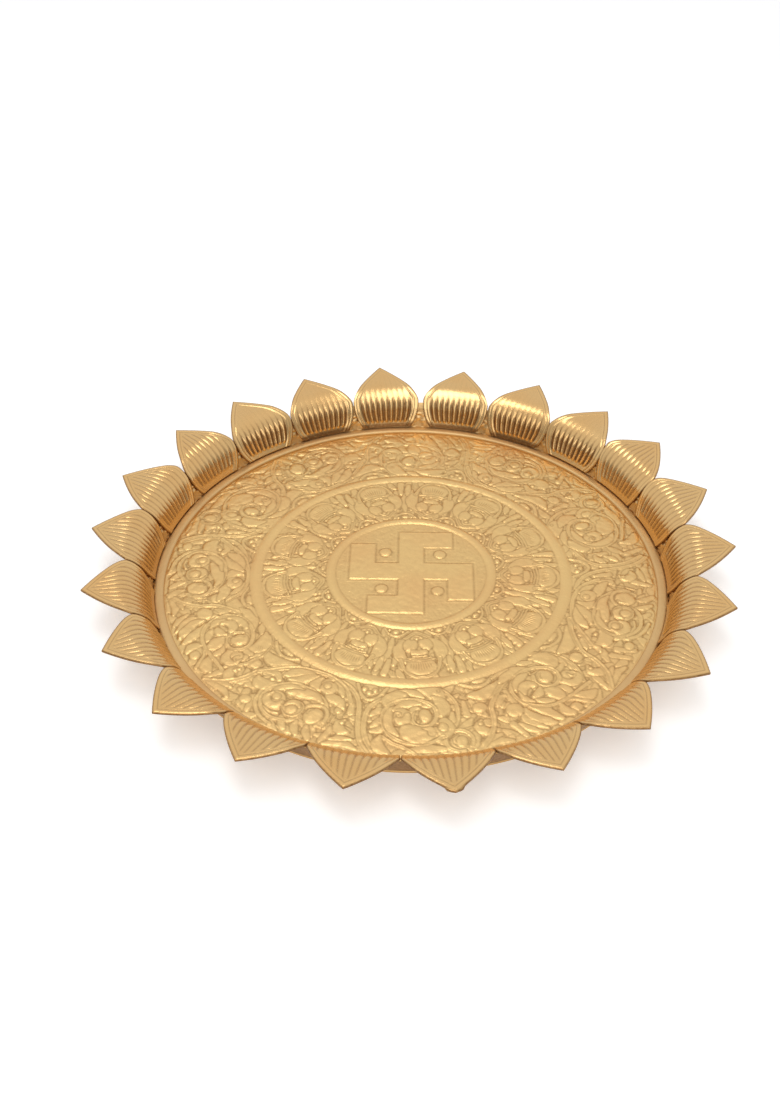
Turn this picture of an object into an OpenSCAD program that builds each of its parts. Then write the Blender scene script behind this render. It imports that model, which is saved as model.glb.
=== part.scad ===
// Lotus thali: a round brass tray with an embossed floor and a rim of pointed lotus petals.
// Millimetres, +Z up, origin at the middle of the flat base. Petal 1 points along +X.

/* [Tray] */
// Diameter of the flat base
base_d = 268; // [244:1:320]
// Thickness of the floor sheet
floor_t = 1.2; // [0.8:0.1:2]
// Thickness of the wall sheet
wall_t = 0.9; // [0.6:0.1:1.4]
// Slope of the wall from the table
wall_slope = 70; // [60:1:80]
// Height of the straight part of the wall
wall_h = 10.9; // [8:0.1:14]
// Radius at which the wall turns out into the rim
bend_r = 15; // [10:0.5:20]
// Slope of the rim at the notches between the petals
notch_slope = 25; // [16:1:34]

/* [Border bead] */
// Width of the bead at the foot of the wall
bead_w = 5.4; // [4:0.2:6]
// Height of the bead over the floor
bead_h = 1.6; // [1.2:0.1:2.4]
// Height of its upright sides, below the round top
bead_side_h = 0.4; // [0.2:0.1:0.8]

/* [Petals] */
// Thickness of a petal's sheet
petal_t = 0.9; // [0.6:0.1:1.4]
// Slope of the petal tips from the table
tip_slope = 5; // [2:1:12]
// Length of a petal beyond the notches
tip_reach = 20.5; // [16:0.1:28]
// Gap between neighbouring petals where they are widest
petal_gap = 0.4; // [0.2:0.1:1]
// Straight shoulder of a petal before it narrows to the tip
shoulder_l = 1.5; // [0.8:0.1:3]
// Height of the ribs over the petal's sheet
rib_h = 0.7; // [0.3:0.1:1]
// Height of the raised border of a petal
hem_h = 0.6; // [0.3:0.1:1]
// Ribs on each petal
rib_count = 11; // [7:2:15]

/* [Embossing] */
// Diameter of the ring round the centre medallion, at its crest
medallion_ring_d = 84; // [80:1:90]
// Width of that ring
medallion_ring_w = 5.2; // [3:0.2:6]
// Diameter of the ring between the two bands, at its crest
middle_ring_d = 162; // [150:1:168]
// Width of that ring
middle_ring_w = 6.2; // [3:0.2:7]
// Height of both rings over the floor
ring_h = 0.7; // [0.5:0.1:1.2]
// Height of the leaf work and of the medallion's sign over the floor
relief_h = 0.7; // [0.4:0.1:1]
// Width of the bars of the medallion's sign
bar_w = 13; // [9:0.5:14]
// Reach of the sign's hooks from the middle line of each arm
hook_reach = 22; // [18:0.5:26]
// Clear ground between the corners of the sign and the ring round it
sign_gap = 0.4; // [0.2:0.1:1]
// Diameter of the sign's four dots
dot_d = 6.6; // [4:0.2:7]
// Distance of each dot from the middle lines of the arms
dot_place = 14.5; // [12:0.5:16]
// Width of the raised stems and borders of the leaf work
stem_w = 1.8; // [1:0.1:2.4]
// Clear floor between the leaf work and the rings
motif_gap = 1.2; // [0.6:0.1:2]

/* [Hidden] */
// Petals round the rim and blossoms in the inner band
petal_count = 22;
blossom_count = 13;
// Places of the scrolls in the outer band, which were laid out by eye
scroll_places = [24, 58, 90, 121, 152, 182, 211, 241, 275, 309, 344];
// Gap that the solder fills between two pieces
seat_gap = 0.1;
// How far a raised shape runs into the floor that carries it
overrun = 0.4;
// Drop of the wall's top edge below the notches between the petals
band_drop = 1.5;

function petal_name(i) = str("petal_", i < 10 ? "0" : "", i);
$fn = 96;

// The wall's inner face is a path of radius and height: straight up, round the bend, straight out

// Radius of its foot, which leaves room for the wall sheet on the floor's edge
foot_r = base_d / 2 - wall_t / sin(wall_slope);
// Lengths along the path from the foot to the bend, the notches between petals and the bend's end
bend_run = wall_h / sin(wall_slope);
notch_run = bend_run + bend_r * (wall_slope - notch_slope) * PI / 180;
bend_end = bend_run + bend_r * (wall_slope - tip_slope) * PI / 180;
bend_centre = [foot_r + wall_h / tan(wall_slope) + bend_r * sin(wall_slope),
    floor_t + wall_h - bend_r * cos(wall_slope)];
// Lengths at which the wall band and the petals crease to follow the bend
bend_steps = 4;
bend_runs = [for (k = [0:bend_steps]) bend_run + (notch_run - bend_run) * k / bend_steps];

function slope_at(run) = run < bend_run ? wall_slope
    : run < bend_end ? wall_slope - (run - bend_run) / bend_r * 180 / PI
    : tip_slope;

// Radius and height of a point of the path, raised off it towards the inside by lift
function proud(run, lift) =
    let (a = slope_at(run), along = [cos(a), sin(a)], up = [-sin(a), cos(a)])
    run < bend_run ? [foot_r, floor_t] + run * along + lift * up
    : bend_centre + (bend_r + lift) * up + max(run - bend_end, 0) * along;

// Floor plate: the flat sheet with its rings, medallion and leaf work

// Radii between which the blossoms and the scrolls lie
inner_band = [medallion_ring_d / 2 + medallion_ring_w / 2 + motif_gap,
    middle_ring_d / 2 - middle_ring_w / 2 - motif_gap];
outer_band = [middle_ring_d / 2 + middle_ring_w / 2 + motif_gap, foot_r - seat_gap - bead_w - motif_gap];

// Raises flat outlines off the floor
module emboss() {
    translate([0, 0, floor_t - overrun]) linear_extrude(height = relief_h + overrun) children();
}

// Ring whose section is the cap of a circle
module ring_bead(d, w) {
    cap_r = (w * w / 4 + ring_h * ring_h) / (2 * ring_h);
    rotate_extrude() translate([d / 2, floor_t]) intersection() {
        translate([0, ring_h - cap_r]) circle(r = cap_r);
        translate([-w, -overrun]) square([2 * w, ring_h + 2 * overrun]);
    }
}

// Traditional sign of four arms, hooked clockwise seen from above, with a dot in each quarter
arm_reach = sqrt(pow(medallion_ring_d / 2 - medallion_ring_w / 2 - sign_gap, 2) - pow(hook_reach, 2));
module medallion_sign() {
    for (k = [0:3]) rotate(90 * k) {
        translate([-bar_w / 2, 0]) square([bar_w, arm_reach]);
        translate([-bar_w / 2, arm_reach - bar_w]) square([hook_reach + bar_w / 2, bar_w]);
        translate([dot_place, dot_place]) circle(d = dot_d);
    }
}

// Pointed leaf that lies along +X
leaf_steps = 6;
module leaf(length, width) {
    edge = [for (k = [0:leaf_steps]) [length * k / leaf_steps, width / 2 * sin(180 * k / leaf_steps)]];
    polygon(concat(edge, [for (k = [leaf_steps - 1:-1:1]) [edge[k][0], -edge[k][1]]]));
}

// Egg-shaped outline that lies along +X, with its wide end outwards
egg_swell_share = 0.2;
function egg(length, width) = [for (a = [0:20:340])
    [length / 2 * cos(a), width / 2 * sin(a) * (1 + egg_swell_share * cos(a))]];

// Blossom: an egg-shaped border round a bud and a fan of leaves, with a long leaf beside it.
// The shares are of the width of the band.
egg_width_share = 0.62;
bud_share = 0.26;
bud_place_share = -0.2;
fan_place_share = 0.06;
fan_leaf_shares = [0.3, 0.07];
side_leaf_shares = [0.8, 0.2];
module blossom() {
    band = inner_band[1] - inner_band[0];
    translate([inner_band[0] + band / 2, 0]) {
        difference() {
            polygon(egg(band, band * egg_width_share));
            polygon(egg(band - 2 * stem_w, band * egg_width_share - 2 * stem_w));
        }
        translate([band * bud_place_share, 0]) circle(d = band * bud_share);
        for (a = [-30:15:30]) translate([band * fan_place_share, 0]) rotate(a)
            leaf(band * fan_leaf_shares[0], band * fan_leaf_shares[1]);
    }
    rotate(180 / blossom_count) translate([inner_band[1] - band * side_leaf_shares[0], 0])
        leaf(band * side_leaf_shares[0], band * side_leaf_shares[1]);
}

// Outline of a stem that follows a list of points
function side_of(points, i) =
    let (d = points[min(i + 1, len(points) - 1)] - points[max(i - 1, 0)])
    stem_w / 2 * [-d[1], d[0]] / norm(d);
function stem_outline(points) = concat(
    [for (i = [0:len(points) - 1]) points[i] + side_of(points, i)],
    [for (i = [len(points) - 1:-1:0]) points[i] - side_of(points, i)]);

// Scroll: a stem that winds in to a boss, with a spray of leaves between it and the next scroll.
// The shares are of the width of the band.
scroll_turns = 1.6;
scroll_start = 250;
scroll_steps = 24;
scroll_reach_share = 0.46;
scroll_end_share = 0.16;
scroll_boss_share = 0.18;
spray_leaf_shares = [0.42, 0.13];
spray_slopes = [-65, -25, 25, 65];
module scroll() {
    band = outer_band[1] - outer_band[0];
    start_r = band * scroll_reach_share - stem_w / 2;
    end_r = band * scroll_end_share;
    stem = [for (k = [0:scroll_steps])
        let (a = scroll_start - 360 * scroll_turns * k / scroll_steps)
        (start_r + (end_r - start_r) * k / scroll_steps) * [cos(a), sin(a)]];
    translate([outer_band[0] + band / 2, 0]) {
        polygon(stem_outline(stem));
        circle(d = band * scroll_boss_share);
    }
    rotate(180 / len(scroll_places)) translate([outer_band[0] + band / 2, 0])
        for (a = spray_slopes) for (side = [0, 180]) rotate(a + side) translate([stem_w, 0])
            leaf(band * spray_leaf_shares[0], band * spray_leaf_shares[1]);
}

module floor_plate() {
    color("goldenrod") {
        cylinder(d = base_d, h = floor_t);
        ring_bead(medallion_ring_d, medallion_ring_w);
        ring_bead(middle_ring_d, middle_ring_w);
        emboss() medallion_sign();
        emboss() for (k = [0:blossom_count - 1]) rotate(360 * k / blossom_count) blossom();
        emboss() for (place = scroll_places) rotate(place) scroll();
    }
}

// Border bead: a moulding with a low round top that lies against the foot of the wall
module border_bead() {
    top_h = bead_h - bead_side_h;
    cap_r = (bead_w * bead_w / 4 + top_h * top_h) / (2 * top_h);
    color("darkgoldenrod") rotate_extrude()
        translate([foot_r - seat_gap - bead_w / 2, floor_t]) intersection() {
            translate([0, bead_h - cap_r]) circle(r = cap_r);
            translate([-bead_w / 2, 0]) square([bead_w, bead_h]);
        }
}

// Wall band: a flared collar that stands on the edge of the floor
module wall_band() {
    top_run = notch_run - band_drop;
    runs = concat([for (run = bend_runs) if (run < top_run) run], [top_run]);
    inner = [for (run = runs) proud(run, 0)];
    outer = [for (k = [len(runs) - 1:-1:0]) proud(runs[k], -wall_t)];
    color("peru") rotate_extrude()
        polygon(concat([[foot_r, floor_t]], inner, outer, [[base_d / 2, floor_t]]));
}

// Petal: a leaf of sheet that lies against the wall, follows the bend and ends in a point.
// Its ribs are columns of points that run from the foot to the pointed edge.

// Width of the foot, as a share of the widest part
foot_share = 0.77;
// Fullness of the pointed outline, where 1 gives straight sides
point_power = 1.3;
// Columns alternate across the petal: border, groove, rib, groove and so on to the other border
columns = 2 * rib_count + 2;
// The back is plain, and has only these columns
back_columns = [for (k = [0:4]) round(columns * k / 4)];
// The foot sits just over the bead
petal_run = (bead_h + seat_gap) / sin(wall_slope);
// Rows that all columns share, from the foot to the notch, and how many follow to the edge
level_runs = concat([petal_run, (petal_run + bend_run) / 2], bend_runs);
edge_steps = 4;
rows = len(level_runs) + edge_steps;
// Radius at the notch, and half of the angle that the petal takes there
notch_r = proud(notch_run, 0)[0];
half_angle = 180 / petal_count - petal_gap / 2 / notch_r * 180 / PI;

// Place across the petal, from -1 to 1
function across(column) = 2 * column / columns - 1;
// Length of the path at which a column meets the pointed edge
function edge_run(column) = notch_run + shoulder_l
    + (tip_reach - shoulder_l) * pow(1 - abs(across(column)), 1 / point_power);
function run_of(row, column) = row < len(level_runs) ? level_runs[row]
    : notch_run + (edge_run(column) - notch_run) * (row - len(level_runs) + 1) / edge_steps;
// Angle from the petal's middle: columns spread up to the notch, and then run straight out
function angle_of(run, column) = across(column) * half_angle * (run < notch_run
    ? 1 - (1 - foot_share) * pow((notch_run - run) / (notch_run - petal_run), 2)
    : notch_r / proud(run, 0)[0]);
// Height of the front over the plain sheet
function rib_lift(row, column) =
    column == 0 || column == columns || row == rows - 1 ? hem_h
    : row == 0 || column % 2 == 1 ? 0
    : row == rows - 2 ? rib_h / 2
    : rib_h;
function petal_point(row, column, lift) =
    let (run = run_of(row, column), a = angle_of(run, column), q = proud(run, seat_gap + lift))
    [q[0] * cos(a), q[0] * sin(a), q[1]];

front_points = [for (row = [0:rows - 1]) for (column = [0:columns])
    petal_point(row, column, petal_t + rib_lift(row, column))];
back_points = [for (row = [0:rows - 1]) for (column = back_columns) petal_point(row, column, 0)];

// Places of the points in the two lists put together
function front(row, column) = row * (columns + 1) + column;
function back(row, k) = len(front_points) + row * len(back_columns) + k;

// Two triangles of a four-cornered cell
function cell(a, b, c, d) = [[a, b, c], [a, c, d]];
// Fans of triangles that join a row of the back to the same row of the front
function end_strip(row) = [for (k = [0:len(back_columns) - 2])
    each concat(
        [for (c = [back_columns[k]:back_columns[k + 1] - 1])
            [back(row, k), front(row, c + 1), front(row, c)]],
        [[back(row, k), back(row, k + 1), front(row, back_columns[k + 1])]])];
function turned_over(faces) = [for (f = faces) [f[0], f[2], f[1]]];

last_back = len(back_columns) - 1;
petal_faces = concat(
    [for (row = [0:rows - 2]) for (c = [0:columns - 1])
        each cell(front(row, c), front(row, c + 1), front(row + 1, c + 1), front(row + 1, c))],
    [for (row = [0:rows - 2]) for (k = [0:last_back - 1])
        each cell(back(row, k), back(row + 1, k), back(row + 1, k + 1), back(row, k + 1))],
    [for (row = [0:rows - 2])
        each cell(front(row, 0), front(row + 1, 0), back(row + 1, 0), back(row, 0))],
    [for (row = [0:rows - 2])
        each cell(front(row, columns), back(row, last_back), back(row + 1, last_back),
            front(row + 1, columns))],
    end_strip(0),
    turned_over(end_strip(rows - 1)));

module petal(i) {
    color("gold") rotate(360 * (i - 1) / petal_count)
        polyhedron(points = concat(front_points, back_points), faces = petal_faces);
}

floor_plate();
border_bead();
wall_band();
for (i = [1:petal_count]) {
    petal(i);
}
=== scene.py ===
import math

import bpy
import numpy as np
from mathutils import Matrix, Vector


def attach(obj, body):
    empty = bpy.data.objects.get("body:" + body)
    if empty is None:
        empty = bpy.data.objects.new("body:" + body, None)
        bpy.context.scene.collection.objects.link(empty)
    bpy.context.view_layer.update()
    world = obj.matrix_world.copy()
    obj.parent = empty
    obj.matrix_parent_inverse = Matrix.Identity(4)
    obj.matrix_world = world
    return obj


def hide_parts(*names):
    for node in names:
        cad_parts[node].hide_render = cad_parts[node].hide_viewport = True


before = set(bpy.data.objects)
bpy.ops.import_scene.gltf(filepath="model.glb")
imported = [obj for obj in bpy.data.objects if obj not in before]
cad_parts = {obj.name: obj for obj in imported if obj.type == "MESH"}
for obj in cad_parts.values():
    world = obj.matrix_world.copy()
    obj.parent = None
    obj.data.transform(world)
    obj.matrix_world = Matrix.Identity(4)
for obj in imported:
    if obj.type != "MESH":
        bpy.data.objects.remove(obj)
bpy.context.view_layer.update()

# Floor sheet, 1.2 mm brass embossed from below: two rings, the centre medallion with the
# traditional four-armed sign, a band of thirteen blossoms and a band of eleven scrolls. It lies
# flat on the table, and the wall stands on its edge. Sizes are millimetres, as in the CAD source.
MM = 0.001
BASE_R, FLOOR_T = 134.0, 1.2
# Foot of the wall's inner face, and the border bead that is soldered beside it
WALL_T, WALL_SLOPE = 0.9, math.radians(70)
FOOT_R = BASE_R - WALL_T / math.sin(WALL_SLOPE)
BEAD_W, SEAT_GAP = 5.4, 0.1
rng = np.random.default_rng(22)


# The brass of every piece is golden sheet, hand worked, with dark wax left in the lines. A piece's
# attribute of wax and shade, 0 on open metal and 1 in its grooves, is made from its own relief; in
# places it also carries painted shade and painted lightening.
class Wire:
    """An output socket that can be added, subtracted and multiplied like a number."""

    def __init__(self, tree, socket):
        self.tree, self.socket = tree, socket

    def math(self, operation, other, turned=False):
        node = self.tree.nodes.new("ShaderNodeMath")
        node.operation = operation
        first, second = (other, self) if turned else (self, other)
        for entry, value in zip(node.inputs, (first, second)):
            if isinstance(value, Wire):
                self.tree.links.new(value.socket, entry)
            else:
                entry.default_value = value
        return Wire(self.tree, node.outputs[0])

    def __add__(self, other):
        return self.math("ADD", other)

    def __radd__(self, other):
        return self.math("ADD", other, True)

    def __sub__(self, other):
        return self.math("SUBTRACT", other)

    def __rsub__(self, other):
        return self.math("SUBTRACT", other, True)

    def __mul__(self, other):
        return self.math("MULTIPLY", other)

    def __rmul__(self, other):
        return self.math("MULTIPLY", other, True)

    def clamp(self):
        wire = self.math("ADD", 0.0)
        wire.socket.node.use_clamp = True
        return wire


class Shader:
    """A material under construction: shader.node(type, settings and inputs) gives an output."""

    def __init__(self, name):
        self.mat = bpy.data.materials.new(name)
        self.mat.use_nodes = True
        self.node_tree = self.mat.node_tree
        self.surface = self.node_tree.nodes["Principled BSDF"]

    def node(self, kind, out=0, inputs=(), **settings):
        node = self.node_tree.nodes.new(kind)
        for key, value in settings.items():
            setattr(node, key, value)
        for key, value in dict(inputs).items():
            self.join(value, node.inputs[key])
        return Wire(self.node_tree, node.outputs[out])

    def join(self, value, entry):
        if isinstance(value, Wire):
            self.node_tree.links.new(value.socket, entry)
        else:
            entry.default_value = value

    def noise(self, scale, detail):
        """Noise with this many waves to the metre."""
        inputs = {"Vector": self.place, "Scale": scale, "Detail": detail}
        return self.node("ShaderNodeTexNoise", inputs=inputs)

    def mix(self, factor, a, b):
        """A colour between a and b."""
        node = self.node_tree.nodes.new("ShaderNodeMix")
        node.data_type = "RGBA"
        for value, number in ((factor, 0), (a, 6), (b, 7)):
            self.join(value, node.inputs[number])
        return Wire(self.node_tree, node.outputs[2])


def brass(name, open_colour, wax_and_shade_colour, tint, rough, rough_spread, grain):
    """Brass whose grooves hold dark wax, in a colour that painted shade uses too. tint is the
    colour that drifts over it in wide patches.
    """
    s = Shader(name)
    s.place = s.node("ShaderNodeTexCoord", out=3)
    recess_and_shade = s.node("ShaderNodeAttribute", out=2, attribute_name="recess_and_shade")
    patches = s.noise(28.0, 4.0)
    specks = s.noise(900.0, 2.0)
    open_metal = s.mix(((patches - 0.42) * 3.0).clamp(), (*open_colour, 1), (*tint, 1))
    # Share of the wax colour: wax in the grooves, plus the painted shade and painted lightening
    # that the attribute carries
    wax_and_shade_share = (recess_and_shade * (specks * 0.5 + 0.25)).clamp()
    s.join(s.mix(wax_and_shade_share, open_metal, (*wax_and_shade_colour, 1)), s.surface.inputs["Base Color"])
    s.surface.inputs["Metallic"].default_value = 1.0
    s.join(rough + (patches - 0.5) * rough_spread + wax_and_shade_share * 0.12, s.surface.inputs["Roughness"])
    # Fine hammer grain, 0.4 mm deep at full strength
    height = s.noise(420.0, 4.0) + s.noise(1500.0, 2.0) * 0.4
    inputs = {"Strength": grain, "Distance": 0.4 * MM, "Height": height}
    bump = s.node("ShaderNodeBump", inputs=inputs)
    s.join(bump, s.surface.inputs["Normal"])
    return s.mat


def build_mesh(name, verts, faces, recess_and_shade, mat):
    """A smooth-shaded object from millimetre points and a list of face arrays of one width each."""
    loops = np.concatenate([f.ravel() for f in faces]).astype(np.int32)
    counts = np.concatenate([np.full(len(f), f.shape[1]) for f in faces]).astype(np.int32)
    mesh = bpy.data.meshes.new(name)
    mesh.vertices.add(len(verts))
    mesh.vertices.foreach_set("co", (np.asarray(verts) * MM).astype(np.float32).ravel())
    mesh.loops.add(len(loops))
    mesh.loops.foreach_set("vertex_index", loops)
    mesh.polygons.add(len(counts))
    starts = np.concatenate([[0], np.cumsum(counts)[:-1]]).astype(np.int32)
    mesh.polygons.foreach_set("loop_start", starts)
    mesh.update(calc_edges=True)
    mesh.validate()
    mesh.shade_smooth()
    layer = mesh.attributes.new("recess_and_shade", "FLOAT", "POINT")
    layer.data.foreach_set("value", np.asarray(recess_and_shade, np.float32))
    mesh.materials.append(mat)
    piece = bpy.data.objects.new(name, mesh)
    bpy.context.collection.objects.link(piece)
    return piece


def turned(r, a, z):
    """Points at a radius, an angle and a height."""
    return np.stack(np.broadcast_arrays(r * np.cos(a), r * np.sin(a), z), -1)


def line(x, width):
    """A soft line where x is 0."""
    return np.exp(-((x / width) ** 2))


# The floor's relief is drawn on a square grid of cells of this size, round the tray's middle
CELL = 0.3
SIDE = int(2 * BASE_R / CELL) + 3
axis_mm = (np.arange(SIDE) - SIDE // 2) * CELL
# Distance from a shape that counts as clear of it, and the room left round a shape on the grid
CLEAR, ROOM = -9.0, 1.2
# Radius and width of each ring, and the height of both
RINGS, RING_H = ((42.0, 5.2), (81.0, 6.2)), 0.7


class Relief:
    """Heights over the floor on a square grid, drawn motif by motif in the motif's own millimetres.

    A motif's x runs clockwise round the tray and its y outwards, from a point at the given radius.
    """

    def __init__(self):
        self.height = np.zeros((SIDE, SIDE), np.float32)
        self.line = np.zeros((SIDE, SIDE), np.float32)

    def at(self, radius, degrees, scale=1.0, lean=0.0):
        self.radius, self.angle = radius, math.radians(degrees)
        self.scale, self.lean = scale, math.radians(lean)

    def to_tray(self, points):
        """Tray x and y of motif points."""
        p = np.atleast_2d(np.asarray(points, float)) * self.scale
        c, s = math.cos(self.lean), math.sin(self.lean)
        x, y = c * p[:, 0] - s * p[:, 1], s * p[:, 0] + c * p[:, 1] + self.radius
        c, s = math.cos(self.angle), math.sin(self.angle)
        return np.stack([c * y + s * x, s * y - c * x], 1)

    def window(self, centre, reach):
        """Slices of the grid round a tray point, with the x and y of its cells."""
        lo = np.maximum(((centre - reach) / CELL).astype(int) + SIDE // 2, 0)
        hi = np.minimum(((centre + reach) / CELL).astype(int) + SIDE // 2 + 2, SIDE)
        spot = (slice(lo[1], hi[1]), slice(lo[0], hi[0]))
        return spot, axis_mm[None, lo[0] : hi[0]], axis_mm[lo[1] : hi[1], None]

    def turned_window(self, place, turn, reach):
        """Slices round a motif point, with its cells' places along and across a direction."""
        cx, cy = self.to_tray(place)[0]
        a = self.angle - math.pi / 2 + self.lean + math.radians(turn)
        spot, gx, gy = self.window(np.array([cx, cy]), reach)
        along = (gx - cx) * math.cos(a) + (gy - cy) * math.sin(a)
        across = (gy - cy) * math.cos(a) - (gx - cx) * math.sin(a)
        return spot, along, across

    def stroke(self, points, widths, height, rim=0.0, channel=False):
        """A raised shape along a curve through the points, with a half width for each of them."""
        points = np.asarray(points, float)
        share = np.linspace(0, 1, len(points))
        widths = np.interp(share, np.linspace(0, 1, np.size(widths)), np.ravel(widths))
        path = smooth_path(np.column_stack([points, widths]))
        tray, half = self.to_tray(path[:, :2]), np.maximum(path[:, 2] * self.scale, 0.2)
        mid = (tray.min(0) + tray.max(0)) / 2
        spot, gx, gy = self.window(mid, np.ptp(tray, axis=0).max() / 2 + half.max() + ROOM)
        inside = np.full(np.broadcast(gx, gy).shape, CLEAR)
        reach = np.full(inside.shape, half.max())
        for (x0, y0), (x1, y1), w0, w1 in zip(tray[:-1], tray[1:], half[:-1], half[1:]):
            dx, dy = x1 - x0, y1 - y0
            t = np.clip(((gx - x0) * dx + (gy - y0) * dy) / (dx * dx + dy * dy + 1e-9), 0, 1)
            w = w0 + t * (w1 - w0)
            d = w - np.hypot(gx - x0 - t * dx, gy - y0 - t * dy)
            reach = np.where(d > inside, w, reach)
            inside = np.maximum(inside, d)
        self.lay(spot, inside, reach, height, rim, channel)

    def dome(self, place, rx, ry, height, turn=0.0):
        """A raised oval, its axis rx turned by degrees from the motif's x."""
        rx, ry = rx * self.scale, ry * self.scale
        spot, u, v = self.turned_window(place, turn, max(rx, ry) + ROOM)
        small = min(rx, ry)
        inside = (1 - np.hypot(u / rx, v / ry)) * small
        self.lay(spot, inside, small, height, rim=0.12, channel=False)

    def lay(self, spot, inside, reach, height, rim, channel):
        """Lays a shape over the rest. inside is how far in from its edge, reach its half width.

        It starts low at its edge and swells to the height; rim is a fine line along the edge, and a
        channel is flat between two such lines. A sunk line goes round it.
        """
        cover = np.clip(inside / 0.5 + 0.5, 0, 1)
        t = np.clip(inside / np.clip(reach, 0.3, 2.0), 0, 1)
        if channel:
            body = height * (0.5 + 0.5 * line(inside - 0.5, 0.36))
        else:
            body = height * (0.2 + 0.8 * (1 - (1 - t) ** 2) ** 1.1)
            body = body + rim * line(inside - 0.55, 0.32)
        body = body + 0.4 * self.height[spot] * (1 - t) ** 2
        edge = line(inside + 0.1, 0.3)
        self.height[spot] = self.height[spot] * (1 - cover) + body * cover - 0.1 * edge
        self.line[spot] = np.maximum(self.line[spot] * (1 - cover), edge)

    def grooves(self, place, turn, long, wide, pitch, depth=0.24):
        """Fine grooves pressed into what is there, along a direction turned from the motif's x."""
        spot, u, v = self.turned_window(place, turn, max(long, wide))
        mask = np.clip(1.6 - 1.6 * np.hypot(u / long, v / wide), 0, 1)
        wave = mask * (0.5 + 0.5 * np.cos(2 * np.pi * v / pitch))
        self.height[spot] -= depth * wave
        self.line[spot] = np.maximum(self.line[spot], 0.5 * wave)


def smooth_path(rows, step=1.2):
    """A Catmull-Rom curve through rows of numbers whose first two are x and y."""
    rows = np.vstack([2 * rows[0] - rows[1], rows, 2 * rows[-1] - rows[-2]])
    out = []
    for a, b, c, d in zip(rows[:-3], rows[1:-2], rows[2:-1], rows[3:]):
        n = max(int(np.hypot(*(c - b)[:2]) / step), 1)
        t = np.arange(n)[:, None] / n
        square, cube = 2 * a - 5 * b + 4 * c - d, 3 * b - 3 * c + d - a
        out.append(0.5 * (2 * b + (c - a) * t + square * t**2 + cube * t**3))
    return np.vstack([*out, rows[-2:-1]])


def arc(centre, radius, start, end, squash=1.0):
    """Points of an arc in degrees, about 24 degrees apart. squash is its height over its width."""
    t = np.linspace(0, 1, max(int(abs(end - start) / 24), 3))
    a = np.radians(start + (end - start) * t)
    return np.stack([centre[0] + radius * np.cos(a), centre[1] + radius * squash * np.sin(a)], 1)


relief = Relief()


def twin(path, half=0.95, height=0.72):
    """A stem drawn as two fine ridges."""
    relief.stroke(path, [1.2 * half], height, channel=True)


def puff(path, widths, height=0.8):
    """A swelling leaf with the given half widths along its path."""
    relief.stroke(path, 1.25 * np.array(widths), height, rim=0.14)


def comb(place, degrees, count, length):
    """A patch of fine grooves a millimetre apart, along the given direction."""
    relief.grooves(place, degrees, 0.75 * length, 0.65 * count, 1.0)


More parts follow.
